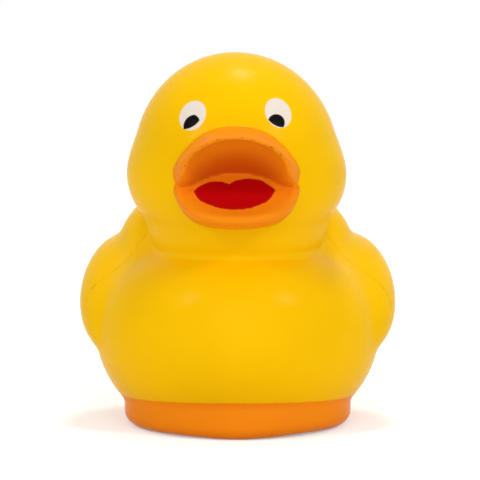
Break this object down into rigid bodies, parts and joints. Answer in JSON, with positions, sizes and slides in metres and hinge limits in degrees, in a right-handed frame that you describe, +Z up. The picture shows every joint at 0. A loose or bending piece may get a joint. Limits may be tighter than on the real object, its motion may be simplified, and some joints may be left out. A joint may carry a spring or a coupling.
{
  "type": "rubber duck",
  "caption": "Soft moulded toy duck with a big round head, open orange bill, painted eyes and mouth, folded wings, a raised tail and a flat oval orange base.",
  "frame": {"origin": "middle of the flat underside of the oval base", "axes": "+Z up, -Y the way the duck faces, +X to the right of someone who looks at its face"},
  "size_m": [0.0684, 0.0794, 0.0801],
  "materials": {
    "duck": "satin"
  },
  "bodies": {
    "root": {"duck": "duck"}
  },
  "joints": []
}
